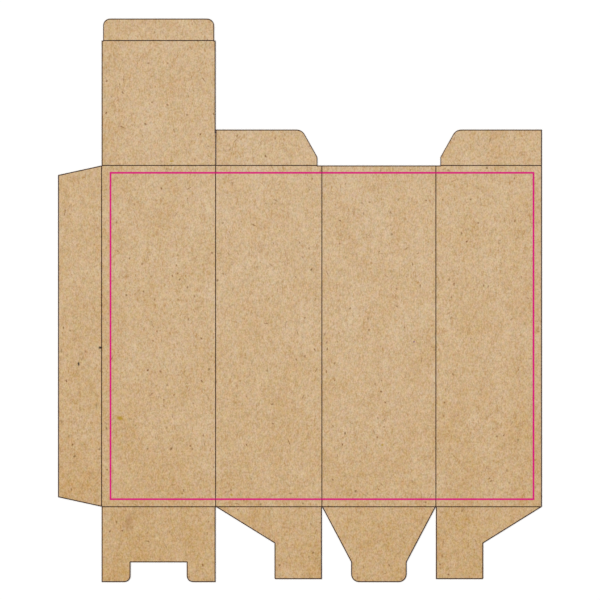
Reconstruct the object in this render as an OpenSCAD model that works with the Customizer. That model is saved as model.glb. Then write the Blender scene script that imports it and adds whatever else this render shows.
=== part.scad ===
// Bottle gift box, as the flat die-cut and creased sheet of kraft board before it is folded.
// The sheet lies print side up on the beads of its creases. X runs along the panels from the
// glue flap, Y runs up the box from the lock bottom to the lid, and Z is up.

/* [Body] */
// Width of the front and back panels
panel_width = 114; // [100:0.5:128]
// Width of the side panels, which is the depth of the folded box
panel_depth = 106.3; // [95:0.1:120]
// How much narrower the last side panel is, so that it tucks inside the glued corner
last_panel_trim = 0.2; // [0:0.1:1]
// Height of the body panels
body_height = 341.3; // [300:0.1:380]
// Thickness of the board
board_thickness = 0.6; // [0.45:0.05:0.9]

/* [Glue flap] */
// Width of the glue flap
glue_width = 43.6; // [20:0.1:60]
// How far each end of the glue flap tapers in over its width
glue_taper = 9.5; // [3:0.1:20]

/* [Lid] */
// Length of the lid from its hinge crease to the tuck crease
lid_length = 124.9; // [100:0.1:150]
// Length of the tuck flap beyond its crease
tuck_length = 22; // [15:0.5:30]
// How far each side of the tuck flap is set in from the lid
tuck_inset = 1.5; // [0.5:0.1:4]
// Corner radius of the tuck flap
tuck_radius = 7; // [3:0.5:12]

/* [Dust flaps] */
// Length of the dust flaps
dust_length = 35.9; // [28:0.1:45]
// Clearance between a dust flap and the crease beside the back panel
dust_clearance = 4.5; // [2:0.1:8]
// Height of the upright part of a dust flap's free side
dust_upright = 8.4; // [4:0.1:14]
// Lean of the slanted part of a dust flap's free side, in degrees from upright
dust_lean = 29.3; // [15:0.1:38]
// Radius of a dust flap's free corner
dust_radius = 9.5; // [5:0.5:13]
// Width of the cut that frees a dust flap from the lid beside it
slit_width = 0.3; // [0.2:0.05:0.8]

/* [Lock bottom] */
// Length of the notched front flap and of the tabbed back flap
lock_length = 75.4; // [68:0.1:85]
// Width of the notch in the front flap
notch_width = 56.2; // [44:0.1:66]
// Depth of the notch in the front flap
notch_depth = 19.8; // [12:0.1:28]
// Radius of the two corners where the notch meets the flap's end
notch_radius = 6.2; // [3:0.1:9]
// Clearance between the notch and the tab of the back flap that enters it
tab_clearance = 0.6; // [0.2:0.1:2]
// Distance from the crease to the end of the back flap's slanted sides
tab_shoulder = 55.4; // [45:0.1:58]
// Corner radius of the tab
tab_radius = 8; // [3:0.5:9]
// Width of the leg at the end of each side flap
leg_width = 47.4; // [35:0.1:60]
// Distance from the crease to the end of a side flap's slanted side
leg_shoulder = 36.5; // [25:0.1:45]
// How much shorter the side flaps are than the front flap
leg_shortfall = 3; // [1:0.1:6]
// Corner radius of the leg
leg_radius = 1; // [0.5:0.1:4]

/* [Creases] */
// Width of the groove that the creasing rule presses into the print side
groove_width = 0.9; // [0.7:0.05:1.2]
// Depth of the groove
groove_depth = 0.3; // [0.15:0.05:0.35]
// Width of the bead that the crease raises on the underside
bead_width = 1.6; // [1.3:0.1:2]
// Height of the bead
bead_height = 0.2; // [0.1:0.05:0.3]
// Distance that a crease stops short of cut edges and of creases that it meets
crease_setback = 1.4; // [1.1:0.1:3]

/* [Hidden] */
$fn = 96;

// Levels of the lying sheet
underside = bead_height;
print_side = underside + board_thickness;

// Places of the upright creases, from the crease beside the glue flap
side_x = panel_width;
back_x = side_x + panel_depth;
last_x = back_x + panel_width;
last_width = panel_depth - last_panel_trim;
end_x = last_x + last_width;

// Levels across the lid, and the middle of the whole sheet
tuck_y = body_height + lid_length;
middle_x = (end_x - glue_width) / 2;
middle_y = (tuck_y + tuck_length - lock_length) / 2;

// How far a corner's waste and a groove's cut reach outside the board, to cut it clean through
waste_reach = 1;

// How much a corner's arc passes the straight edges beside it, so that it crosses them cleanly
arc_overlap = 0.002;

// Flats that make up the rounded section of a groove or a bead
crease_flats = 6;

function unit(v) = v / norm(v);

// Points of a shallow arc that hangs by depth under a chord of the given width, from its left end
// to its right end, where level is the height of the chord
function hanging_arc(width, depth, level) =
    let (
        radius = (width * width / 4 + depth * depth) / (2 * depth),
        half_angle = asin(width / 2 / radius)
    )
    [
        for (flat = [0:crease_flats])
            let (angle = half_angle * (2 * flat / crease_flats - 1))
            [radius * sin(angle), level - depth + radius * (1 - cos(angle))]
    ];

// The waste between a corner and the arc that rounds it, where before and after are points
// further along the two edges that meet there
module corner_waste(before, corner, after, radius) {
    to_before = unit(before - corner);
    to_after = unit(after - corner);
    inward = unit(to_before + to_after);
    half_angle = acos(to_before * to_after) / 2;
    reach = radius / tan(half_angle);
    centre = corner + inward * radius / sin(half_angle);
    difference() {
        polygon([
            centre,
            corner + to_before * reach,
            corner - inward * waste_reach,
            corner + to_after * reach
        ]);
        translate(centre) circle(radius + arc_overlap);
    }
}

// The four body panels side by side
module body_panels() {
    square([end_x, body_height]);
}

// Glue flap on the left of the front panel, narrower at its free side
module glue_flap() {
    polygon([
        [0, 0],
        [0, body_height],
        [-glue_width, body_height - glue_taper],
        [-glue_width, glue_taper]
    ]);
}

// Lid above the front panel, with its round-cornered tuck flap
module lid() {
    left = tuck_inset;
    right = panel_width - tuck_inset;
    top = tuck_y + tuck_length;
    translate([0, body_height]) square([panel_width, lid_length]);
    difference() {
        translate([left, tuck_y]) square([right - left, tuck_length]);
        corner_waste([left, tuck_y], [left, top], [right, top], tuck_radius);
        corner_waste([right, tuck_y], [right, top], [left, top], tuck_radius);
    }
}

// Dust flap with its flush side at x = 0 and its free side towards +X
module dust_flap(width) {
    shoulder = [width, dust_upright];
    corner = [width - (dust_length - dust_upright) * tan(dust_lean), dust_length];
    top_left = [0, dust_length];
    translate([0, body_height]) difference() {
        polygon([[0, 0], [width, 0], shoulder, corner, top_left]);
        corner_waste(shoulder, corner, top_left, dust_radius);
    }
}

// Front bottom flap, whose notch takes the tab of the back flap
module notched_flap() {
    left = (panel_width - notch_width) / 2;
    right = left + notch_width;
    end = -lock_length;
    difference() {
        translate([0, end]) square([panel_width, lock_length]);
        translate([left, end - waste_reach]) square([notch_width, notch_depth + waste_reach]);
        corner_waste([0, end], [left, end], [left, 0], notch_radius);
        corner_waste([panel_width, end], [right, end], [right, 0], notch_radius);
    }
}

// Back bottom flap, whose slanted sides run into a tab
module tabbed_flap() {
    tab_width = notch_width - tab_clearance;
    left = (panel_width - tab_width) / 2;
    right = left + tab_width;
    end = -lock_length;
    difference() {
        polygon([
            [0, 0],
            [left, -tab_shoulder],
            [left, end],
            [right, end],
            [right, -tab_shoulder],
            [panel_width, 0]
        ]);
        corner_waste([left, 0], [left, end], [right, end], tab_radius);
        corner_waste([right, 0], [right, end], [left, end], tab_radius);
    }
}

// Side bottom flap with its slant starting at x = 0 and its leg along x = width
module leg_flap(width) {
    inner = width - leg_width;
    end = leg_shortfall - lock_length;
    difference() {
        polygon([[0, 0], [inner, -leg_shoulder], [inner, end], [width, end], [width, 0]]);
        corner_waste([inner, 0], [inner, end], [width, end], leg_radius);
    }
}

// Outline that the cutting rules leave
module outline() {
    body_panels();
    glue_flap();
    lid();
    translate([side_x + slit_width, 0]) dust_flap(panel_depth - slit_width - dust_clearance);
    translate([end_x, 0]) mirror([1, 0]) dust_flap(last_width - dust_clearance);
    notched_flap();
    translate([side_x, 0]) leg_flap(panel_depth);
    translate([back_x, 0]) tabbed_flap();
    translate([end_x, 0]) mirror([1, 0]) leg_flap(last_width);
}

// Creases as pairs of the points that they run between, before the setback
upright_creases = [for (x = [0, side_x, back_x, last_x]) [[x, 0], [x, body_height]]];
lid_creases = [
    [[0, body_height], [side_x, body_height]],
    [[tuck_inset, tuck_y], [side_x - tuck_inset, tuck_y]]
];
dust_creases = [
    [[side_x + slit_width, body_height], [back_x - dust_clearance, body_height]],
    [[last_x + dust_clearance, body_height], [end_x, body_height]]
];
bottom_creases = [
    for (ends = [[0, side_x], [side_x, back_x], [back_x, last_x], [last_x, end_x]])
        [[ends[0], 0], [ends[1], 0]]
];
creases = concat(upright_creases, lid_creases, dust_creases, bottom_creases);

// Runs a cross-section along every crease, short of both of its ends
module along_creases() {
    for (crease = creases) {
        run = crease[1] - crease[0];
        start = crease[0] + unit(run) * crease_setback;
        translate([start[0], start[1], 0])
            rotate([0, 0, atan2(run[1], run[0])])
                rotate([90, 0, 90])
                    linear_extrude(norm(run) - 2 * crease_setback) children();
    }
}

// Cross-section that the groove takes out, an arc below the print side
module groove_section() {
    half = groove_width / 2;
    top = print_side + waste_reach;
    polygon(concat(hanging_arc(groove_width, groove_depth, print_side), [[half, top], [-half, top]]));
}

// Cross-section of the bead, an arc below the underside with its root inside the board
module bead_section() {
    half = bead_width / 2;
    root = underside + (board_thickness - groove_depth) / 2;
    polygon(concat(hanging_arc(bead_width, bead_height, underside), [[half, root], [-half, root]]));
}

// The whole sheet: one board, cut, with grooves above and beads below along its creases
module box_blank() {
    color("#CDAE87")
        translate([-middle_x, -middle_y, 0])
            difference() {
                union() {
                    translate([0, 0, underside]) linear_extrude(board_thickness) outline();
                    along_creases() bead_section();
                }
                along_creases() groove_section();
            }
}

box_blank();
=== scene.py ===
import math

import bpy
import numpy as np
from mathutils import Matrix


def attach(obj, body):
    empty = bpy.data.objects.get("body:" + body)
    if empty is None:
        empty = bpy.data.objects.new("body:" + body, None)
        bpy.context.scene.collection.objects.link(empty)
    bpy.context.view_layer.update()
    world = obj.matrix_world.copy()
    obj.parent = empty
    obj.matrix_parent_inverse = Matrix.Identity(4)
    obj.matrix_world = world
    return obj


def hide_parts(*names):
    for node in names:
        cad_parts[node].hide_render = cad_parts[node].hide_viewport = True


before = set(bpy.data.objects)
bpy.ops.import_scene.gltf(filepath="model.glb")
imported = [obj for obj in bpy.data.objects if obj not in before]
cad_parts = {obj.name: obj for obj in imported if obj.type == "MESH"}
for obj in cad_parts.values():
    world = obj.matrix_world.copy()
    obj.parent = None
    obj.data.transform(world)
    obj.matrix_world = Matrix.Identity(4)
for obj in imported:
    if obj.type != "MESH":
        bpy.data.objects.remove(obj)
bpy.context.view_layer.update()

# Camera
# The blank is seen square from above, as a packaging drawing shows it: the picture is 600 mm
# wide at the level of the print side, and its centre lies a little above the blank's middle.

picture_width = 0.6
picture_centre = (0.0, 0.00035)
print_level = 0.0008

camera_data = bpy.data.cameras.new("camera")
camera_data.lens = 85.0
camera_data.sensor_width = 36.0
camera_data.clip_start = 0.01
camera = bpy.data.objects.new("camera", camera_data)
camera_height = picture_width * camera_data.lens / camera_data.sensor_width
camera.location = (*picture_centre, print_level + camera_height)
bpy.context.scene.collection.objects.link(camera)
bpy.context.scene.camera = camera
bpy.context.scene.view_settings.view_transform = "Standard"


# Lamps
# A white room gives most of the light, and one broad lamp from the upper left gives the rest, so
# that the grooves and the board's edge show. Together they light a level sheet with one unit.

room_share = 0.72
lamp_share = 0.28
lamp_tilt = math.radians(42)
lamp_turn = math.radians(38)
lamp_softness = math.radians(24)


def add(tree, kind, inputs=None, **settings):
    """A node of that kind, with its settings, and with each input set to a value or joined to
    another node's socket."""
    node = tree.nodes.new("ShaderNode" + kind)
    for name, value in settings.items():
        setattr(node, name, value)
    for name, value in (inputs or {}).items():
        if isinstance(value, bpy.types.NodeSocket):
            tree.links.new(value, node.inputs[name])
        else:
            node.inputs[name].default_value = value
    return node


def maths(tree, operation, *values):
    """The result of one step of arithmetic on values or sockets."""
    inputs = dict(enumerate(values))
    return add(tree, "Math", inputs, operation=operation).outputs[0]


def remapped(tree, value, start, end, low=0.0, high=1.0, **settings):
    """The value, mapped so that start becomes low and end becomes high, and held between them."""
    inputs = {"Value": value, "From Min": start, "From Max": end, "To Min": low, "To Max": high}
    return add(tree, "MapRange", inputs, **settings).outputs[0]


def seen_directly(tree):
    """1 where a ray comes from the camera, off a glossy surface or through a clear one, and 0
    where it gathers light for a surface."""
    rays = add(tree, "LightPath").outputs
    seen = maths(tree, "MAXIMUM", rays["Is Camera Ray"], rays["Is Glossy Ray"])
    return maths(tree, "MAXIMUM", seen, rays["Is Transmission Ray"])


world = bpy.data.worlds.new("white room")
world.use_nodes = True
bpy.context.scene.world = world
tree = world.node_tree
room = tree.nodes["Background"]
room.inputs["Color"].default_value = (1.0, 1.0, 1.0, 1.0)
strength = remapped(tree, seen_directly(tree), 0.0, 1.0, low=room_share)
tree.links.new(strength, room.inputs["Strength"])

lamp_data = bpy.data.lights.new("broad lamp", "SUN")
lamp_data.energy = lamp_share * math.pi / math.cos(lamp_tilt)
lamp_data.angle = lamp_softness
lamp = bpy.data.objects.new("broad lamp", lamp_data)
lamp.rotation_euler = (0.0, -lamp_tilt, -lamp_turn)
bpy.context.scene.collection.objects.link(lamp)


# Floor
# A plain white table top that the blank lies on. It takes the blank's thin shadow, and looks
# pure white to the camera where nothing shades it.

floor_size = 6.0
floor_white = 0.97
floor_lift = 0.06

floor_mesh = bpy.data.meshes.new("floor")
half = floor_size / 2
floor_mesh.from_pydata(
    [(-half, -half, 0), (half, -half, 0), (half, half, 0), (-half, half, 0)], [], [(0, 1, 2, 3)]
)
floor = bpy.data.objects.new("floor", floor_mesh)
bpy.context.scene.collection.objects.link(floor)
table_white = bpy.data.materials.new("table white")
table_white.use_nodes = True
tree = table_white.node_tree
table_shader = tree.nodes["Principled BSDF"]
table_shader.inputs["Base Color"].default_value = (floor_white, floor_white, floor_white, 1)
table_shader.inputs["Roughness"].default_value = 0.9
table_shader.inputs["Specular IOR Level"].default_value = 0.0
table_shader.inputs["Emission Color"].default_value = (1, 1, 1, 1)
table_glow = maths(tree, "MULTIPLY", seen_directly(tree), floor_lift)
tree.links.new(table_glow, table_shader.inputs["Emission Strength"])
floor_mesh.materials.append(table_white)


# Panels
# One sheet of kraft board has four panels in a row, with all the flaps round them. Lengths are in
# millimetres from the corner where the crease beside the glue flap meets the bottom creases, and
# the finished sheet is moved to the middle of the frame.

panel_width = 114.0
panel_depth = 106.3
last_panel_trim = 0.2
body_height = 341.3
side_x = panel_width
back_x = side_x + panel_depth
last_x = back_x + panel_width
end_x = last_x + panel_depth - last_panel_trim

# Places of the flaps' rules along the panels' top and bottom
tuck_inset = 1.5
slit_width = 0.3
dust_clearance = 4.5
dust_one = (side_x + slit_width, back_x - dust_clearance)
dust_two = (last_x + dust_clearance, end_x)
notch_width = 56.2
notch_left = (panel_width - notch_width) / 2
notch_right = notch_left + notch_width

# Frame line that is printed round the four panels, as the middle of its line and its width
frame_left, frame_right = 8.9, 431.9
frame_bottom, frame_top = 7.55, 333.95
frame_width = 1.85
line_sides = np.array([-0.5, 0.5]) * frame_width

# The grid's lines stand close together beside each rule of the die, then grow apart
rule_steps = np.array([0.0, 0.12, 0.28, 0.5, 0.62, 0.8, 1.03, 1.6])
corner_steps = rule_steps[:6]
step_growth = 1.35
open_steps = rule_steps[-1] * step_growth ** np.arange(1, 14)
stepped_share = 0.42
least_gap = 0.04
even_rows = 20


def lines_between(start, end):
    """Grid lines from one rule to the next. From both ends come the steps of a rule and then
    steps that grow by a fixed ratio, over a share of the way, and one line is in the middle."""
    steps = np.concatenate([rule_steps, open_steps])
    steps = steps[steps < stepped_share * (end - start)]
    return np.concatenate([start + steps, [(start + end) / 2], end - steps[::-1]])


def lines_through(*places):
    """Grid lines from each place to the next, every line once."""
    runs = [lines_between(start, end) for start, end in zip(places, places[1:])]
    return np.unique(np.concatenate(runs))


def merged_lines(*groups):
    """All the groups' lines in order. A line of a later group that lies nearer than the least
    gap to a line of an earlier one is left out."""
    lines = np.asarray(groups[0], float)
    for group in groups[1:]:
        group = np.asarray(group, float)
        gap = np.abs(group[:, None] - lines).min(axis=1)
        lines = np.concatenate([lines, group[gap > least_gap]])
    return np.sort(lines)


upright_rules = (0, notch_left, notch_right, side_x, back_x, last_x, end_x)
columns = merged_lines(
    np.concatenate([frame_left + line_sides, frame_right + line_sides]),
    upright_rules,
    tuck_inset + corner_steps,
    side_x - tuck_inset - corner_steps,
    dust_one[0] + corner_steps,
    dust_one[1] - corner_steps,
    dust_two[0] + corner_steps,
    lines_through(*upright_rules),
)
rows = merged_lines(
    np.concatenate([frame_bottom + line_sides, frame_top + line_sides]),
    lines_between(0, body_height),
    np.linspace(0, body_height, even_rows + 1)[1:-1],
)
body = np.stack(np.meshgrid(columns, rows), axis=-1)


# Glue flap
# It is hinged on the front panel's left side and tapers in at both ends. When the box is made
# up it is glued inside the last side panel.

glue_width = 43.6
glue_taper = 9.5
crease_blend = 0.6


def straight(reach, depth):
    """Inset of a side that stands square on its crease: the depth itself, at every reach."""
    return depth + 0 * reach


def slanted(slope):
    """Inset of a side that leans in by slope for each millimetre of reach. Depth is measured
    square to the slant, and along the crease where the side starts."""

    def inset(reach, depth):
        square = 1 + (math.hypot(1, slope) - 1) * np.clip(reach / crease_blend, 0, 1)
        return slope * reach + depth * square

    return inset


def flap_grid(lines, reach, left=straight, right=straight):
    """Grid over a flap, as its place along the crease and its reach from the crease. A line
    within a rule's steps of a side keeps its depth from that side's cut, and the lines between
    share the rest of the width in the proportions that they have at the crease."""
    start, end = lines[0], lines[-1]
    margin = rule_steps[-1]
    reach = reach[:, None]
    inner_left = start + left(reach, margin)
    inner_right = end - right(reach, margin)
    share = (lines - start - margin) / (end - start - 2 * margin)
    along = inner_left + share * (inner_right - inner_left)
    along = np.where(lines - start < margin, start + left(reach, lines - start), along)
    along = np.where(end - lines < margin, end - right(reach, end - lines), along)
    return np.stack(np.broadcast_arrays(along, reach), axis=-1)


glue_side = slanted(glue_taper / glue_width)
glue_flap = flap_grid(rows, lines_between(0, glue_width), glue_side, glue_side)
glue_flap = glue_flap[..., ::-1] * [-1, 1]


# Lid and tuck flap
# The lid is hinged on top of the front panel. The tuck flap at its end is a little narrower, with
# two round corners, and goes down inside the back panel.

lid_length = 124.9
tuck_length = 22.0
tuck_radius = 7.0
tuck_y = body_height + lid_length
top_y = tuck_y + tuck_length

# How near two places count as touching, and the least length that anything is divided by
touching = 0.001
least_length = 1e-9


def part_of(lines, start, end):
    """The lines from start to end, with both."""
    return lines[(lines > start - touching) & (lines < end + touching)]


def round_corner(grid, before, corner, after, radius):
    """Rounds a corner of the grid between two edges. A point in the wedge between the centre's
    two squares on the edges keeps its direction from the centre, and its distance becomes the
    larger of its two distances along those squares, so lines beside the edges become arcs."""
    before, corner, after = (np.array(p, float) for p in (before, corner, after))
    to_before = (before - corner) / np.linalg.norm(before - corner)
    to_after = (after - corner) / np.linalg.norm(after - corner)
    half_angle = math.acos(to_before @ to_after) / 2
    foot_reach = radius / math.tan(half_angle)
    inward = (to_before + to_after) / np.linalg.norm(to_before + to_after)
    centre = corner + inward * radius / math.sin(half_angle)
    first = (corner + to_before * foot_reach - centre) / radius
    second = (corner + to_after * foot_reach - centre) / radius
    turn = first[0] * second[1] - first[1] * second[0]
    ray = grid - centre
    past_first = (first[0] * ray[..., 1] - first[1] * ray[..., 0]) * turn
    before_second = (ray[..., 0] * second[1] - ray[..., 1] * second[0]) * turn
    distance = np.maximum(ray @ first, ray @ second)
    length = np.maximum(np.linalg.norm(ray, axis=-1), least_length)
    rounded = centre + ray * (distance / length)[..., None]
    inside = (past_first > 0) & (before_second > 0) & (distance < radius + touching)
    return np.where(inside[..., None], rounded, grid)


def round_end(grid, left, right, length, radius):
    """Rounds the two corners at a flap's end, which runs from left to right at that length."""
    for near, far in ((left, right), (right, left)):
        grid = round_corner(grid, (near, 0), (near, length), (far, length), radius)
    return grid


lid = flap_grid(part_of(columns, 0, side_x), lines_between(0, lid_length)) + [0, body_height]
tuck_lines = part_of(columns, tuck_inset, side_x - tuck_inset)
tuck = flap_grid(tuck_lines, lines_between(0, tuck_length))
tuck = round_end(tuck, tuck_lines[0], tuck_lines[-1], tuck_length, tuck_radius) + [0, tuck_y]


# Dust flaps
# They are hinged on top of the two side panels and close under the lid. One side of each is
# flush, and the free one stands upright, then slants in to a rounded corner.

dust_length = 35.9
dust_upright = 8.4
dust_lean = math.radians(29.3)
dust_radius = 9.5


def dust_side(reach, depth):
    """Inset of a dust flap's free side, the deeper of its upright part and its slanted part."""
    slope = math.tan(dust_lean)
    slant = slope * (reach - dust_upright) + depth * math.hypot(1, slope)
    return np.maximum(depth, slant)


def dust_grid(start, end, free_right):
    """Grid over a dust flap, with its free side on the right or on the left."""
    reach = merged_lines([dust_upright], lines_between(0, dust_length))
    left, right = (straight, dust_side) if free_right else (dust_side, straight)
    grid = flap_grid(part_of(columns, start, end), reach, left, right)
    lean_in = (dust_length - dust_upright) * math.tan(dust_lean)
    free, inward, flush = (end, -1, start) if free_right else (start, 1, end)
    grid = round_corner(
        grid,
        (free, dust_upright),
        (free + inward * lean_in, dust_length),
        (flush, dust_length),
        dust_radius,
    )
    return grid + [0, body_height]


# Notched bottom flap
# The front panel's bottom flap has a notch in its end, which leaves a foot with one round corner
# on either side. The tab of the back flap goes into the notch.

lock_length = 75.4
notch_depth = 19.8
notch_radius = 6.2
notch_reach = lock_length - notch_depth
notched = flap_grid(part_of(columns, 0, side_x), lines_between(0, notch_reach)) * [1, -1]


def foot_grid(outer, inner):
    """Grid over one of the two feet beside the notch, with its corner at the notch rounded."""
    start, end = min(outer, inner), max(outer, inner)
    grid = flap_grid(part_of(columns, start, end), lines_between(notch_reach, lock_length))
    grid = round_corner(
        grid, (outer, lock_length), (inner, lock_length), (inner, notch_reach), notch_radius
    )
    return grid * [1, -1]


# Tabbed bottom flap
# The back panel's bottom flap narrows from both sides to a tab with two round corners, which
# fits the notch with a little clearance.

tab_clearance = 0.6
tab_shoulder = 55.4
tab_radius = 8.0
tab_width = notch_width - tab_clearance
tab_inner = (panel_width - tab_width) / 2


def slanted_then_straight(inner, shoulder):
    """Inset of a side that leans in until it is inner away from its start, at the shoulder's
    reach, and then stands square: the shallower of the two."""

    def inset(reach, depth):
        return np.minimum(slanted(inner / shoulder)(reach, depth), inner + depth)

    return inset


tab_reach = lines_through(0, tab_shoulder, lock_length)
tab_side = slanted_then_straight(tab_inner, tab_shoulder)
tab_left = back_x + tab_inner
tab = flap_grid(part_of(columns, back_x, last_x), tab_reach, tab_side, tab_side)
tab = round_end(tab, tab_left, tab_left + tab_width, lock_length, tab_radius) * [1, -1]


# Legged bottom flaps
# Each side panel's bottom flap has one straight side. Its other side slants in and then runs
# straight to the end of the leg, whose corner there is barely rounded.

leg_width = 47.4
leg_shoulder = 36.5
leg_shortfall = 3.0
leg_radius = 1.0


def leg_grid(start, end, slant_left):
    """Grid over a side bottom flap, with its slanted side on the left or on the right."""
    length = lock_length - leg_shortfall
    leg_side = slanted_then_straight(end - start - leg_width, leg_shoulder)
    left, right = (leg_side, straight) if slant_left else (straight, leg_side)
    reach = lines_through(0, leg_shoulder, length)
    grid = flap_grid(part_of(columns, start, end), reach, left, right)
    inner, flush = (end - leg_width, end) if slant_left else (start + leg_width, start)
    grid = round_corner(grid, (inner, 0), (inner, length), (flush, length), leg_radius)
    return grid * [1, -1]


# Whole sheet
# Panels and flaps are one board, so their grids are joined along the creases between them, and
# one cut edge runs round them all.

areas = [
    body,
    glue_flap,
    lid,
    tuck,
    dust_grid(*dust_one, free_right=True),
    dust_grid(*dust_two, free_right=False),
    notched,
    foot_grid(0, notch_left),
    foot_grid(side_x, notch_right),
    leg_grid(side_x, back_x, slant_left=True),
    tab,
    leg_grid(last_x, end_x, slant_left=False),
]

# Decimals to which two grids' places are the same, and points that are measured in one go
weld_decimals = 4
points_at_once = 1000


def grid_quads(grid, first):
    """Quads of a grid whose first vertex has the given number, all facing up."""
    down, across = grid.shape[:2]
    number = first + np.arange(down * across).reshape(down, across)
    quads = np.stack([number[:-1, :-1], number[:-1, 1:], number[1:, 1:], number[1:, :-1]], -1)
    run, rise = grid[0, 1] - grid[0, 0], grid[1, 0] - grid[0, 0]
    facing_up = run[0] * rise[1] - run[1] * rise[0] > 0
    quads = quads.reshape(-1, 4)
    return quads if facing_up else quads[:, ::-1]


def weld(grids):
    """Joins the grids along the creases that they share: vertices at one place become one."""
    points = np.concatenate([grid.reshape(-1, 2) for grid in grids])
    starts = np.cumsum([0] + [grid.shape[0] * grid.shape[1] for grid in grids[:-1]])
    quads = np.concatenate([grid_quads(grid, first) for grid, first in zip(grids, starts)])
    places = np.round(points, weld_decimals)
    _, kept, number = np.unique(places, axis=0, return_index=True, return_inverse=True)
    return points[kept], number.reshape(-1)[quads]


def rim_edges(quads):
    """Edges that only one quad uses, in that quad's direction: the sheet's cut edge."""
    edges = np.concatenate([quads[:, [side, (side + 1) % 4]] for side in range(4)])
    ends = np.sort(edges, axis=1)
    _, first, count = np.unique(ends, axis=0, return_index=True, return_counts=True)
    return edges[first[count == 1]]


def distance_to(points, starts, ends):
    """Distance of each point to the nearest of the straight pieces from starts to ends. Its
    foot on a piece is the share of the run that it lies along, held from 0 to 1. The squared
    distance is that to the start, less twice the foot times the way along the run, plus the
    foot squared times the run squared."""
    runs = ends - starts
    run_squares = (runs**2).sum(axis=1)
    nearest = []
    for block in np.array_split(points, max(1, len(points) // points_at_once)):
        along = block @ runs.T - (starts * runs).sum(axis=1)
        from_start = (block**2).sum(axis=1)[:, None] - 2 * block @ starts.T
        from_start += (starts**2).sum(axis=1)
        foot = np.clip(along / run_squares, 0, 1)
        squares = from_start - 2 * foot * along + foot**2 * run_squares
        nearest.append(squares.min(axis=1))
    return np.sqrt(np.maximum(np.concatenate(nearest), 0))


sheet, quads = weld(areas)
rim = rim_edges(quads)


# Creases
# Steel rules press a narrow groove into the print side and raise a wider bead on the underside.
# They stop a little short of cut edges and of each other, so that the board doesn't split there.

board_thickness = 0.6
groove_half_width = 0.6
groove_depth = 0.3
bead_half_width = 1.1
bead_height = 0.2
crease_setback = 1.4
crease_fade = 0.4

creases = np.array(
    [[(x, 0), (x, body_height)] for x in (0, side_x, back_x, last_x)]
    + [[(0, body_height), (side_x, body_height)]]
    + [[(tuck_inset, tuck_y), (side_x - tuck_inset, tuck_y)]]
    + [[(start, body_height), (end, body_height)] for start, end in (dust_one, dust_two)]
    + [[(0, 0), (side_x, 0)], [(side_x, 0), (back_x, 0)]]
    + [[(back_x, 0), (last_x, 0)], [(last_x, 0), (end_x, 0)]],
    float,
)


def smooth_step(x):
    """Rises from 0 to 1 as x does, level at both ends: three x squared less two x cubed."""
    x = np.clip(x, 0, 1)
    return x * x * (3 - 2 * x)


def crease_relief(points, half_width):
    """How deep in a crease each point lies, from 0 to 1: half a cosine wave across the crease,
    times a smooth rise after its start and before its end."""
    starts, ends = creases[:, 0], creases[:, 1]
    runs = ends - starts
    lengths = np.linalg.norm(runs, axis=1)
    units = runs / lengths[:, None]
    ways = points[:, None] - starts
    along = (ways * units).sum(axis=2)
    beside = np.abs(ways[..., 0] * units[:, 1] - ways[..., 1] * units[:, 0])
    across = 0.5 + 0.5 * np.cos(np.pi * np.clip(beside / half_width, 0, 1))
    inside = np.minimum(along, lengths - along) - crease_setback + crease_fade / 2
    return (across * smooth_step(inside / crease_fade)).max(axis=1)


# The knives round the print side's edge over and leave a slight burr below it
cut_shoulder = 0.2
cut_drop = 0.06
cut_burr = 0.04
cut_distance = distance_to(sheet, sheet[rim[:, 0]], sheet[rim[:, 1]])
shoulder = np.clip(1 - cut_distance / cut_shoulder, 0, 1) ** 2
underside = bead_height
upper = underside + board_thickness
upper = upper - groove_depth * crease_relief(sheet, groove_half_width) - cut_drop * shoulder
lower = underside - bead_height * crease_relief(sheet, bead_half_width) + cut_burr * shoulder

# Vertices and faces of the closed board, in metres about the middle of the frame
per_metre = 1000
placed = sheet - [(end_x - glue_width) / 2, (top_y - lock_length) / 2]
vertices = np.concatenate([np.c_[placed, upper], np.c_[placed, lower]]) / per_metre
below = len(sheet)
walls = np.stack([rim[:, 1], rim[:, 0], rim[:, 0] + below, rim[:, 1] + below], axis=1)
faces = np.concatenate([quads, quads[:, ::-1] + below, walls])


# Map for a baked finish
# A copy of the blank whose finish is painted on a map gets the most room for the print side. The
# underside lies beside it at half the size, and the cut edge above that in short rows.

map_side = 731.0
map_margin = 3.0
back_scale = 0.49
edge_row_length = 205.0
edge_row_height = 3.0
edge_row_pitch = 6.5

sheet_size = np.ptp(sheet, axis=0)
on_map = sheet - sheet.min(axis=0)
print_map = on_map + map_margin
back_corner = np.array([2 * map_margin + sheet_size[0], map_margin])
mirrored = [sheet_size[0], 0] + on_map * [-1, 1]
back_map = back_corner + back_scale * mirrored
edge_lengths = np.linalg.norm(sheet[rim[:, 1]] - sheet[rim[:, 0]], axis=1)
edge_ends = np.cumsum(edge_lengths)
edge_starts = edge_ends - edge_lengths
edge_row = np.floor(edge_starts / edge_row_length)
edge_left = back_corner[0] + edge_starts - edge_row * edge_row_length
edge_low = 2 * map_margin + back_scale * sheet_size[1] + edge_row * edge_row_pitch
edge_right = edge_left + edge_lengths
edge_high = edge_low + edge_row_height
edge_across = np.stack([edge_right, edge_left, edge_left, edge_right], axis=1)
edge_up = np.stack([edge_high, edge_high, edge_low, edge_low], axis=1)
edge_map = np.stack([edge_across, edge_up], axis=-1)
corner_map = np.concatenate([print_map[quads], back_map[quads[:, ::-1]], edge_map])


# Print
# The die's cut and crease lines are printed as thin dark lines, and a magenta frame line runs
# round the four panels over them. The inks soak into the board and lie level with it.

line_half_width = 0.5
cut_line_width = 1.03
slit_line_half_width = 0.62
quad_middles = sheet[quads].mean(axis=1)

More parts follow.
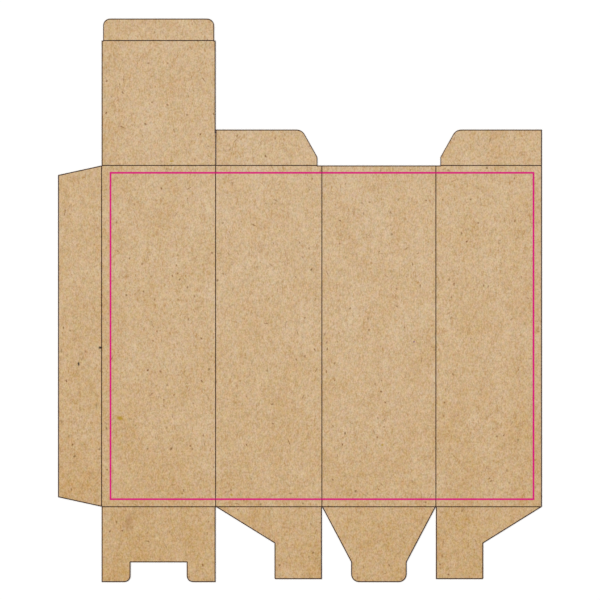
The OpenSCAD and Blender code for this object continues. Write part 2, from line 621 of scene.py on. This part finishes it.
# One line covers the slit, so its two sides get no cut line of their own
slit = np.array([[(side_x + slit_width / 2, body_height + reach)] for reach in (0, dust_length)])
beside_slit = distance_to(sheet[rim].mean(axis=1), *slit) < slit_width
open_rim = rim[~beside_slit]
dark = (
    (distance_to(quad_middles, creases[:, 0], creases[:, 1]) < line_half_width)
    | (distance_to(quad_middles, sheet[open_rim[:, 0]], sheet[open_rim[:, 1]]) < cut_line_width)
    | (distance_to(quad_middles, *slit) < slit_line_half_width)
)


def on_frame(points):
    """True where a point is on the frame line: inside its outer rectangle and outside its
    inner one."""
    across = np.abs(points - [(frame_left + frame_right) / 2, (frame_bottom + frame_top) / 2])
    size = np.array([frame_right - frame_left, frame_top - frame_bottom]) / 2
    outer = (across < size + frame_width / 2).all(axis=1)
    inner = (across < size - frame_width / 2).all(axis=1)
    return outer & ~inner


# Each face's finish, numbered in the order in which the blank gets its materials
framed = on_frame(quad_middles)
BOARD, BACK, EDGE, DARK, MAGENTA, BOTH = range(6)
print_slots = np.select([dark & framed, dark, framed], [BOTH, DARK, MAGENTA], BOARD)
slots = np.concatenate([print_slots, np.full(len(quads), BACK), np.full(len(walls), EDGE)])


# Kraft finish
# Unbleached kraft pulp: long brown fibres with pale and dark ones among them, cloudy where they
# lie thicker, unevenly stained by resin, and flecked with bark. The grain runs up the box.


def new_group(name, inputs, outputs):
    """A shader node group with the sockets named in inputs and outputs, each with its kind and
    for an input its default."""
    group = bpy.data.node_groups.new(name, "ShaderNodeTree")
    for label, (kind, value) in inputs.items():
        socket = group.interface.new_socket(label, in_out="INPUT", socket_type=kind)
        socket.default_value = value
    for label, kind in outputs.items():
        group.interface.new_socket(label, in_out="OUTPUT", socket_type=kind)
    return group, group.nodes.new("NodeGroupInput").outputs, group.nodes.new("NodeGroupOutput")


def mixed(tree, factor, first, second):
    """The colour between first and second at the factor."""
    node = add(tree, "Mix", {0: factor, 6: first, 7: second}, data_type="RGBA")
    return node.outputs[2]


def combined(tree, operation, first, second):
    """The result of one step of arithmetic on two colours or places, for each of their three
    numbers."""
    return add(tree, "VectorMath", {0: first, 1: second}, operation=operation).outputs[0]


def shifted(tree, start, direction, amount):
    """The colour or place at the start moved along a direction, as far as the amount says."""
    step = add(tree, "VectorMath", {0: direction, "Scale": amount}, operation="SCALE")
    return combined(tree, "ADD", start, step.outputs[0])


def size_of(tree, place):
    """The distance of a place from the origin."""
    return add(tree, "VectorMath", {0: place}, operation="LENGTH").outputs["Value"]


def frayed(tree, place, scale, detail, amount):
    """The place moved by noise of that scale about 0, times the amount, which frays a shape's
    outline."""
    noise = add(tree, "TexNoise", {"Vector": place, "Scale": scale, "Detail": detail})
    noise = combined(tree, "SUBTRACT", noise.outputs["Color"], (0.5, 0.5, 0.5))
    return shifted(tree, place, noise, amount)


def centred_noise(tree, place, scale, amount, detail=2.0, roughness=0.5):
    """Noise of that scale about 0, times the amount."""
    noise = add(
        tree,
        "TexNoise",
        {"Vector": place, "Scale": scale, "Detail": detail, "Roughness": roughness},
    )
    return maths(tree, "MULTIPLY", maths(tree, "SUBTRACT", noise.outputs["Fac"], 0.5), amount)


NUMBER, VECTOR, COLOUR = "NodeSocketFloat", "NodeSocketVector", "NodeSocketColor"
fleck_core = 0.45
fleck_rim = 1.1

flecks, given, result = new_group(
    "scattered flecks",
    {
        "Position": (VECTOR, (0, 0, 0)),
        "Spacing": (NUMBER, 6.0),
        "Half Length": (NUMBER, 0.9),
        "Half Width": (NUMBER, 0.4),
        "Raggedness": (NUMBER, 0.5),
        "Seed": (NUMBER, 0.0),
    },
    {"Mask": NUMBER, "Chance": NUMBER},
)
seeded = combined(flecks, "ADD", given["Position"], given["Seed"])
ragged = frayed(flecks, seeded, 1.3, 2.0, given["Raggedness"])
density = maths(flecks, "DIVIDE", 1.0, given["Spacing"])
cell = add(flecks, "TexVoronoi", {"Vector": seeded, "Scale": density}).outputs
chances = add(flecks, "SeparateColor", {0: cell["Color"]}).outputs
away = combined(flecks, "SUBTRACT", ragged, cell["Position"])
turn = maths(flecks, "MULTIPLY", chances[0], math.tau)
away = add(flecks, "VectorRotate", {"Vector": away, "Angle": turn}, rotation_type="Z_AXIS")
sizes = add(
    flecks,
    "CombineXYZ",
    {0: given["Half Width"], 1: given["Half Length"], 2: given["Half Width"]},
)
away = size_of(flecks, combined(flecks, "DIVIDE", away.outputs[0], sizes.outputs[0]))
mask = remapped(
    flecks, away, fleck_core, fleck_rim, low=1.0, high=0.0, interpolation_type="SMOOTHSTEP"
)
flecks.links.new(mask, result.inputs["Mask"])
flecks.links.new(chances[1], result.inputs["Chance"])

kraft, given, result = new_group(
    "kraft fibres",
    {
        "Position": (VECTOR, (0, 0, 0)),
        "Drift": (NUMBER, 0.0),
        "Pulp": (COLOUR, (1, 1, 1, 1)),
        "Brown Fibre": (COLOUR, (0, 0, 0, 1)),
        "Bark": (COLOUR, (0, 0, 0, 1)),
        "Grain": (NUMBER, 1.0),
        "Mottle": (NUMBER, 1.0),
        "Clouds": (NUMBER, 1.0),
        "Stains": (NUMBER, 1.0),
        "Strands": (NUMBER, 1.0),
        "Bark Flecks": (NUMBER, 1.0),
    },
    {"Color": COLOUR, "Roughness": NUMBER, "Height": NUMBER},
)
grain_length = 0.7
position = combined(
    kraft, "MULTIPLY", given["Position"], (per_metre, grain_length * per_metre, per_metre)
)

# Ways in red, green and blue that the pulp's colour goes: towards paler fibres, paler and less
# yellow clouds, warmer resin stains, and greener ones
fibre_shift = (0.356, 0.291, 0.244)
cloud_shift = (0.206, 0.272, 0.303)
resin_shift = (0.465, 0.170, -0.246)
green_shift = (-0.386, 0.415, -0.087)
green_share = 0.6
hollow_share = 0.5

grain = centred_noise(kraft, position, 0.76, given["Grain"], roughness=0.6)
hollows = maths(kraft, "MULTIPLY", maths(kraft, "MINIMUM", grain, 0.0), hollow_share)
grain = maths(kraft, "ADD", grain, hollows)
mottle = centred_noise(kraft, position, 0.16, given["Mottle"])
clouds = centred_noise(kraft, position, 0.028, given["Clouds"], detail=3.0)
cloudiness = maths(kraft, "SUBTRACT", maths(kraft, "ADD", mottle, clouds), given["Drift"])
colour = shifted(kraft, given["Pulp"], fibre_shift, grain)
colour = shifted(kraft, colour, cloud_shift, cloudiness)

stains = add(kraft, "TexNoise", {"Vector": position, "Scale": 0.36, "Detail": 2.0})
stains = add(kraft, "SeparateColor", {0: stains.outputs["Color"]}).outputs
for stain, direction, share in (
    (stains["Green"], resin_shift, 1.0),
    (stains["Blue"], green_shift, green_share),
):
    stain = maths(kraft, "MULTIPLY", maths(kraft, "SUBTRACT", stain, 0.5), share)
    colour = shifted(kraft, colour, direction, maths(kraft, "MULTIPLY", stain, given["Stains"]))

# Brown fibres gather in loose tangles. Most run up the box, and fainter ones run across it. Each
# kind has its stretch, a shift that parts its pattern from the other's, and its share.
tangle_start = 0.35
tangle_full = 0.65
fewest_strands = 0.35
most_strands = 1.2
strand_start = 0.54
strand_full = 0.78
upward_strands = ((1.0, 0.45, 1.0), 5.0, 0.85)
crossing_strands = ((0.5, 1.3, 1.0), 83.0, 0.5)
tangles = add(kraft, "TexNoise", {"Vector": position, "Scale": 0.09, "Detail": 2.0})
tangles = remapped(
    kraft, tangles.outputs["Fac"], tangle_start, tangle_full, fewest_strands, most_strands
)
for stretch, shift, fibre_share in (upward_strands, crossing_strands):
    drawn = combined(kraft, "MULTIPLY", position, stretch)
    drawn = combined(kraft, "ADD", drawn, (shift, shift, 0))
    strands = add(
        kraft, "TexNoise", {"Vector": drawn, "Scale": 0.7, "Detail": 2.0, "Distortion": 0.6}
    )
    strands = remapped(
        kraft,
        strands.outputs["Fac"],
        strand_start,
        strand_full,
        high=fibre_share,
        interpolation_type="SMOOTHSTEP",
    )
    strands = maths(kraft, "MULTIPLY", strands, given["Strands"])
    strands = maths(kraft, "MULTIPLY", strands, tangles)
    colour = mixed(kraft, strands, colour, given["Brown Fibre"])

# Short crumbs and long chips of bark, with the cover that the darkest of them have
crumbs = {"Spacing": 7.5, "Half Length": 1.4, "Half Width": 0.85, "Raggedness": 1.4, "Seed": 11.0}
chips = {"Spacing": 8.5, "Half Length": 3.2, "Half Width": 0.55, "Raggedness": 1.8, "Seed": 23.0}
for bark, darkest in ((crumbs, 0.95), (chips, 0.8)):
    scatter = add(kraft, "Group", node_tree=flecks)
    kraft.links.new(position, scatter.inputs["Position"])
    for label, value in bark.items():
        scatter.inputs[label].default_value = value
    shown = maths(kraft, "MULTIPLY", scatter.outputs["Mask"], scatter.outputs["Chance"])
    shown = maths(kraft, "MULTIPLY", maths(kraft, "MULTIPLY", shown, darkest), given["Bark Flecks"])
    colour = mixed(kraft, shown, colour, given["Bark"])

board_roughness = 0.82
fibre_polish = -0.15
kraft.links.new(colour, result.inputs["Color"])
roughness = maths(kraft, "ADD", board_roughness, maths(kraft, "MULTIPLY", grain, fibre_polish))
kraft.links.new(roughness, result.inputs["Roughness"])
kraft.links.new(maths(kraft, "ADD", grain, cloudiness), result.inputs["Height"])

brown_fibre = (0.45, 0.24, 0.08, 1)
bark_brown = (0.24, 0.105, 0.03, 1)


def kraft_material(name, relief_height, finish):
    """A board material of the kraft fibres group. The finish gives values to the group's inputs,
    and the relief's height is in metres. Returns the material and its fibres node."""
    material = bpy.data.materials.new(name)
    material.use_nodes = True
    tree = material.node_tree
    shader = tree.nodes["Principled BSDF"]
    fibres = add(tree, "Group", node_tree=kraft)
    tree.links.new(add(tree, "TexCoord").outputs["Object"], fibres.inputs["Position"])
    for label, value in {"Brown Fibre": brown_fibre, "Bark": bark_brown, **finish}.items():
        fibres.inputs[label].default_value = value
    height = fibres.outputs["Height"]
    relief = add(tree, "Bump", {"Height": height, "Strength": 0.35, "Distance": relief_height})
    tree.links.new(fibres.outputs["Color"], shader.inputs["Base Color"])
    tree.links.new(fibres.outputs["Roughness"], shader.inputs["Roughness"])
    tree.links.new(relief.outputs[0], shader.inputs["Normal"])
    shader.inputs["Specular IOR Level"].default_value = 0.2
    return material, fibres


print_relief = 0.00005
print_finish = {
    "Pulp": (0.643, 0.460, 0.274, 1),
    "Grain": 1.2,
    "Mottle": 0.47,
    "Clouds": 0.54,
    "Stains": 0.3,
    "Strands": 1.05,
    "Bark Flecks": 1.0,
}
print_side, fibres = kraft_material("kraft print side", print_relief, print_finish)
tree = print_side.node_tree
place = add(tree, "TexCoord").outputs["Object"]

# The sheet is a little yellower towards its lock end and its two sides
lock_end_drift = 0.25
side_drift = 0.075
palest_x = 0.02
half_width, half_length = sheet_size / 2 / per_metre
parts = add(tree, "SeparateXYZ", {0: place}).outputs
down = remapped(tree, parts["Y"], half_length, -half_length)
down = maths(tree, "MULTIPLY", maths(tree, "POWER", down, 3.0), lock_end_drift)
aside = maths(tree, "DIVIDE", maths(tree, "SUBTRACT", parts["X"], palest_x), half_width)
aside = maths(tree, "MULTIPLY", maths(tree, "MULTIPLY", aside, aside), side_drift)
tree.links.new(maths(tree, "ADD", down, aside), fibres.inputs["Drift"])


# Marks in the board
# Specks of bark, rust and dyed fibre that were in the pulp, and that anyone would notice. Their
# places are in millimetres from the middle of the sheet, and their outlines are ragged.

mark_raggedness = 2.0
mark_core = 0.3
mark_rim = 1.2
mark, given, result = new_group(
    "mark in the board",
    {
        "Position": (VECTOR, (0, 0, 0)),
        "Centre": (VECTOR, (0, 0, 0)),
        "Half Size": (VECTOR, (1, 1, 1)),
        "Turn": (NUMBER, 0.0),
        "Strength": (NUMBER, 1.0),
    },
    {"Mask": NUMBER},
)
away = combined(mark, "SUBTRACT", given["Position"], given["Centre"])
away = add(mark, "VectorRotate", {"Vector": away, "Angle": given["Turn"]}, rotation_type="Z_AXIS")
away = size_of(mark, combined(mark, "DIVIDE", away.outputs[0], given["Half Size"]))
spot = remapped(
    mark, away, mark_rim, mark_core, high=given["Strength"], interpolation_type="SMOOTHSTEP"
)
mark.links.new(spot, result.inputs["Mask"])

bark_black = (0.02, 0.014, 0.008, 1)
rust = (0.26, 0.1, 0.018, 1)
mustard = (0.44, 0.275, 0.02, 1)
violet = (0.20, 0.09, 0.20, 1)
umber = (0.215, 0.115, 0.035, 1)

# Each mark's place across and up, half its width and height, its turn in degrees and its cover
board_marks = {
    umber: [
        (-129.0, -148.5, 1.3, 1.7, 20, 0.85),
        (-152.5, -148.5, 1.1, 1.3, 0, 0.65),
        (-91.0, -69.0, 1.1, 1.5, 0, 0.85),
        (5.0, -56.0, 1.1, 1.7, 10, 0.75),
        (11.5, 31.0, 1.2, 1.9, 25, 0.95),
        (9.0, 52.0, 1.0, 1.3, 0, 0.6),
        (92.0, 66.0, 1.1, 1.5, -20, 0.7),
        (45.0, -133.0, 1.2, 1.7, 0, 0.9),
        (218.0, -139.5, 1.1, 1.6, 0, 0.75),
        (149.0, 20.5, 1.1, 1.5, 30, 0.7),
        (153.0, -73.5, 1.0, 1.3, 0, 0.6),
        (187.0, 132.5, 1.5, 1.3, 0, 0.9),
        (-113.0, 185.5, 0.9, 1.1, 0, 0.6),
        (55.5, -191.0, 1.2, 1.6, 0, 0.85),
        (-225.5, -156.0, 1.4, 1.8, 30, 0.85),
        (-193.5, -128.0, 1.3, 1.9, -15, 0.8),
        (-82.5, 20.0, 1.2, 1.6, 40, 0.75),
        (-173.5, 5.0, 1.2, 1.5, 15, 0.7),
        (-156.5, 9.0, 1.1, 1.5, -30, 0.75),
        (-120.5, 21.0, 1.2, 1.5, 60, 0.75),
        (-112.5, 13.0, 1.1, 1.6, 10, 0.7),
        (-200.5, -149.0, 1.1, 1.5, 0, 0.75),
        (-170.5, 42.0, 1.1, 1.4, 20, 0.7),
        (-9.5, -193.0, 2.1, 0.9, 0, 0.65),
        (189.5, -178.0, 1.1, 1.4, 45, 0.7),
        (125.5, -202.0, 1.3, 1.2, 0, 0.7),
        (-39.5, -204.0, 1.5, 1.0, 0, 0.65),
        (3.0, -203.0, 1.0, 1.1, 0, 0.7),
        (-203.5, -105.5, 0.9, 4.5, 4, 0.5),
        (-220.0, -108.5, 0.8, 2.6, -8, 0.5),
        (-238.6, -50.5, 1.2, 3.0, 0, 0.5),
        (-238.6, -121.5, 1.2, 2.8, 0, 0.4),
    ],
    rust: [
        (-97.3, -264.7, 1.1, 2.2, 0, 0.9),
        (140.0, -264.0, 1.0, 1.4, 0, 0.75),
        (-118.0, -193.0, 1.6, 1.3, 30, 0.65),
        (-143.0, -31.0, 1.1, 1.5, 0, 0.8),
        (-147.0, -40.5, 1.1, 1.4, 0, 0.75),
        (-136.0, -99.5, 1.1, 1.4, 0, 0.7),
        (-171.0, -221.5, 4.5, 10.5, 6, 0.3),
        (-170.0, -212.5, 1.1, 3.8, -20, 0.35),
    ],
    bark_black: [
        (-199.6, -47.3, 2.3, 1.6, 0, 1.0),
        (-221.4, -63.5, 1.2, 2.2, 0, 0.95),
    ],
    mustard: [
        (-180.0, -117.7, 4.0, 2.6, 15, 0.95),
        (-128.3, 139.2, 2.1, 1.3, 0, 0.95),
        (82.5, -144.5, 1.7, 1.4, 0, 0.85),
        (-68.5, -194.5, 2.3, 1.4, 20, 0.85),
    ],
    violet: [(114.0, -41.3, 1.1, 1.1, 0, 0.75)],
}

position = combined(tree, "MULTIPLY", place, (per_metre, per_metre, 0))
position = frayed(tree, position, 0.9, 3.0, mark_raggedness)
colour = fibres.outputs["Color"]
for mark_colour, marks in board_marks.items():
    covered = 0.0
    for x, y, half_width, half_height, turn, cover in marks:
        spot = add(tree, "Group", node_tree=mark)
        tree.links.new(position, spot.inputs["Position"])
        spot.inputs["Centre"].default_value = (x, y, 0)
        spot.inputs["Half Size"].default_value = (half_width, half_height, 1)
        spot.inputs["Turn"].default_value = math.radians(turn)
        spot.inputs["Strength"].default_value = cover
        covered = maths(tree, "MAXIMUM", covered, spot.outputs["Mask"])
    colour = mixed(tree, covered, colour, mark_colour)
tree.links.new(colour, tree.nodes["Principled BSDF"].inputs["Base Color"])


# Underside and cut edge
# The same pulp, a little darker and rougher on the underside, which gets no print, and darker
# still along the edge, where the die has cut through the fibres.

back_relief = 0.00008
edge_relief = 0.0001
back_side, _ = kraft_material(
    "kraft underside",
    back_relief,
    {
        "Pulp": (0.58, 0.415, 0.25, 1),
        "Grain": 1.5,
        "Mottle": 1.0,
        "Clouds": 0.7,
        "Stains": 0.3,
        "Strands": 1.2,
        "Bark Flecks": 1.3,
    },
)
cut_edge, _ = kraft_material(
    "kraft cut edge",
    edge_relief,
    {
        "Pulp": (0.52, 0.36, 0.205, 1),
        "Grain": 1.7,
        "Mottle": 0.8,
        "Clouds": 0.5,
        "Stains": 0.2,
        "Strands": 0.6,
        "Bark Flecks": 0.8,
    },
)


# Inks
# A brown-black ink and a magenta one on uncoated board. They fill its hollows and lie thinner on
# the fibres that stand highest, where a little of the board shows through.

ink_gloss = 0.25
thick_cover = 1.0
thin_cover = 0.975
high_fibres = 0.3


def ink_material(name, colour):
    """The print side's material under an ink of that colour."""
    material, fibres = kraft_material(name, print_relief, print_finish)
    tree = material.node_tree
    shader = tree.nodes["Principled BSDF"]
    height = fibres.outputs["Height"]
    cover = remapped(tree, height, -high_fibres, high_fibres, thick_cover, thin_cover)
    inked = mixed(tree, cover, fibres.outputs["Color"], (*colour, 1))
    roughness = maths(tree, "SUBTRACT", fibres.outputs["Roughness"], ink_gloss)
    tree.links.new(inked, shader.inputs["Base Color"])
    tree.links.new(roughness, shader.inputs["Roughness"])
    return material


# Finished blank
# The sheet gets its materials in the order of the numbers that its faces have, and stands for the
# whole box blank. Its two sides are shaded smooth, and its cut edge isn't.

blank_mesh = bpy.data.meshes.new("kraft_blank")
blank_mesh.from_pydata(vertices.tolist(), [], faces.tolist())
bake_map = blank_mesh.uv_layers.new(name="OFBake")
bake_map.data.foreach_set("uv", (corner_map / map_side).ravel().astype(np.float32))
blank = bpy.data.objects.new("kraft_blank", blank_mesh)
bpy.context.scene.collection.objects.link(blank)

materials = [
    print_side,
    back_side,
    cut_edge,
    ink_material("die line ink", (0.02, 0.002, 0.0)),
    ink_material("magenta ink", (0.66, 0.0, 0.188)),
    ink_material("magenta over die line ink", (0.36, 0.0, 0.1)),
]
for material in materials:
    blank_mesh.materials.append(material)
blank_mesh.polygons.foreach_set("material_index", slots.astype(np.int32))
blank_mesh.polygons.foreach_set("use_smooth", slots != EDGE)
blank_mesh.update()

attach(blank, "root")
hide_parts("box_blank")
